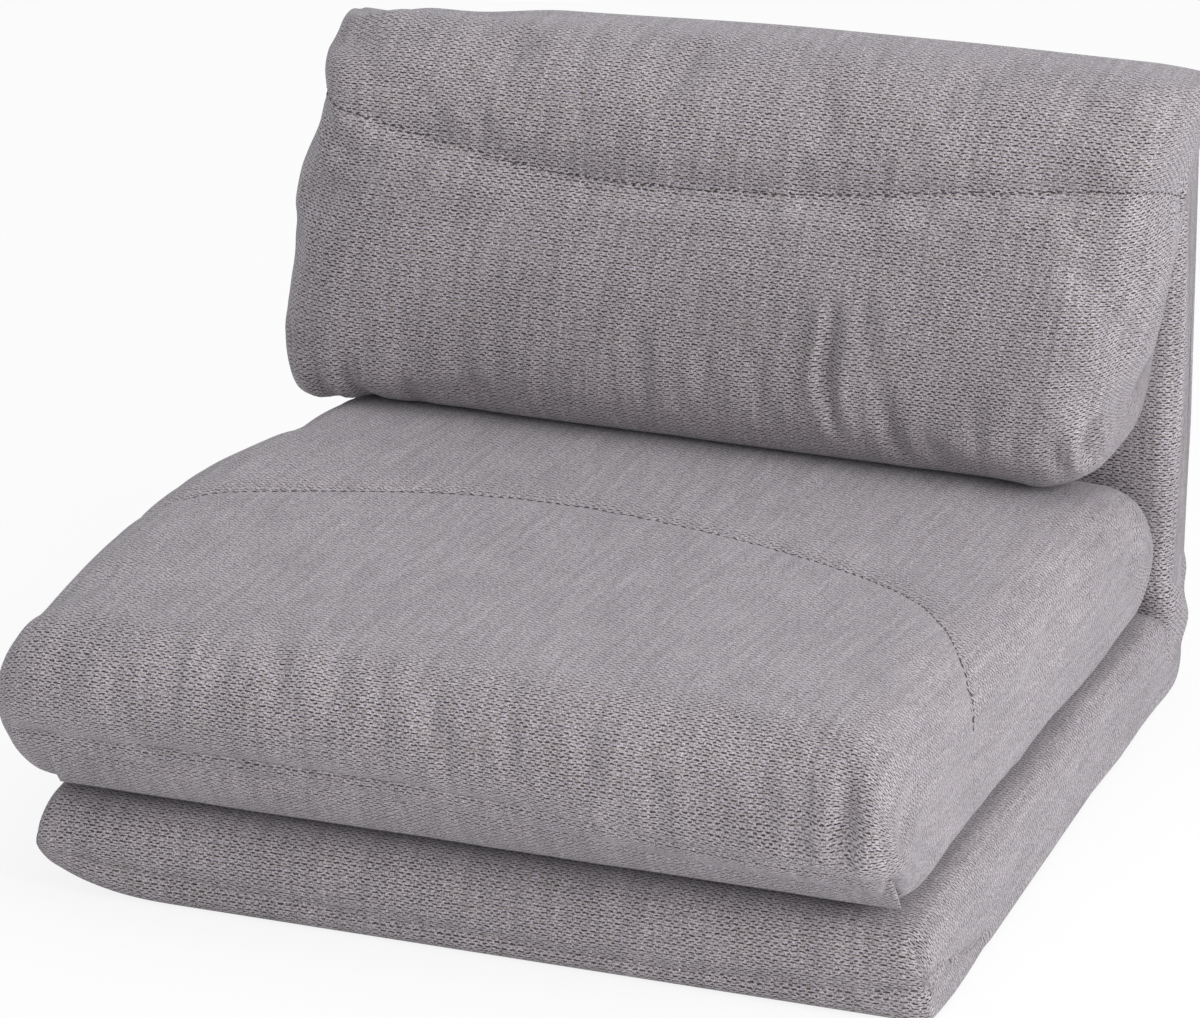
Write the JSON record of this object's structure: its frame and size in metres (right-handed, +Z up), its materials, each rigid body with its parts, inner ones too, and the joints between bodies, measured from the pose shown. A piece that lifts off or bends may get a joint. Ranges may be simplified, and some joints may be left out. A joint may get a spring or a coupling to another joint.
{
  "type": "convertible chair bed",
  "caption": "Low fold-out chair bed: floor base, thick seat pad that turns over forwards on a hinge band, and a cushioned back panel that reclines flat.",
  "frame": {"origin": "on the floor, under the middle of the whole chair", "axes": "+Z up; the chair faces -Y; +X to the right as seen from the front"},
  "size_m": [0.7574, 0.7819, 0.554],
  "materials": {
    "cover_weave": "grey taupe chenille, coarse weave with short dark dashes",
    "foam": "open-cell cushion foam, cream",
    "fibre_fill": "white polyester fibre fill",
    "frame_steel": "black powder-coated steel tube",
    "hinge_steel": "zinc-plated pressed steel",
    "rivet_steel": "zinc-plated rivet steel",
    "spring_steel": "blued spring steel",
    "underside_cloth": "black spunbond cloth"
  },
  "bodies": {
    "base": {"base_frame": "frame_steel", "base_cross_tubes": "frame_steel", "hinge_plate_left": "hinge_steel", "hinge_plate_right": "hinge_steel", "hinge_cap_left": "hinge_steel", "hinge_cap_right": "hinge_steel", "pivot_rivet_left": "rivet_steel", "pivot_rivet_right": "rivet_steel", "pawl_pin_left": "rivet_steel", "pawl_pin_right": "rivet_steel", "pawl_spring_left": "spring_steel", "pawl_spring_right": "spring_steel", "base_strap_rivets": "rivet_steel", "base_foam_lower": "foam", "base_foam_upper": "foam", "base_foam_roll": "foam", "base_wadding": "fibre_fill", "base_cover": "cover_weave", "base_underside_cloth": "underside_cloth", "back_gusset_cloth": "cover_weave"},
    "hinge_band": {"hinge_band_cloth": "cover_weave", "hinge_band_wadding": "fibre_fill"},
    "seat": {"seat_cover": "cover_weave", "seat_foam": "foam", "seat_wadding": "fibre_fill"},
    "back": {"back_frame": "frame_steel", "back_cross_tubes": "frame_steel", "back_strap_rivets": "rivet_steel", "hinge_arm_left": "hinge_steel", "hinge_arm_right": "hinge_steel", "back_foam_front": "foam", "back_foam_rear": "foam", "back_panel_cover": "cover_weave", "back_cushion_cover": "cover_weave", "back_cushion_fibre": "fibre_fill"},
    "left_pawl": {"pawl_left": "hinge_steel"},
    "right_pawl": {"pawl_right": "hinge_steel"}
  },
  "joints": [
    {"name": "band_turn", "type": "hinge", "parent": "base", "child": "hinge_band", "pos_m": [0, -0.321, 0.0834], "axis": [1, 0, 0], "range_deg": [0, 39.55]},
    {"name": "seat_flip", "type": "hinge", "parent": "hinge_band", "child": "seat", "pos_m": [0, -0.358, 0.137], "axis": [1, 0, 0], "range_deg": [0, 141.4], "deforming": ["back_cushion_cover", "back_cushion_fibre"]},
    {"name": "back_recline", "type": "hinge", "parent": "base", "child": "back", "pos_m": [0, 0.349, 0.04], "axis": [-1, 0, 0], "range_deg": [0, 90], "deforming": ["back_gusset_cloth"]},
    {"name": "pawl_left_turn", "type": "hinge", "parent": "base", "child": "left_pawl", "pos_m": [0, 0.32267, 0.05973], "axis": [1, 0, 0], "range_deg": [0, 7]},
    {"name": "pawl_right_turn", "type": "hinge", "parent": "base", "child": "right_pawl", "pos_m": [0, 0.32267, 0.05973], "axis": [1, 0, 0], "range_deg": [0, 7]}
  ],
  "couplings": [
    {"joint": "band_turn", "follows": "seat_flip", "ratio": 0.2796},
    {"joint": "pawl_right_turn", "follows": "pawl_left_turn", "ratio": 1}
  ]
}
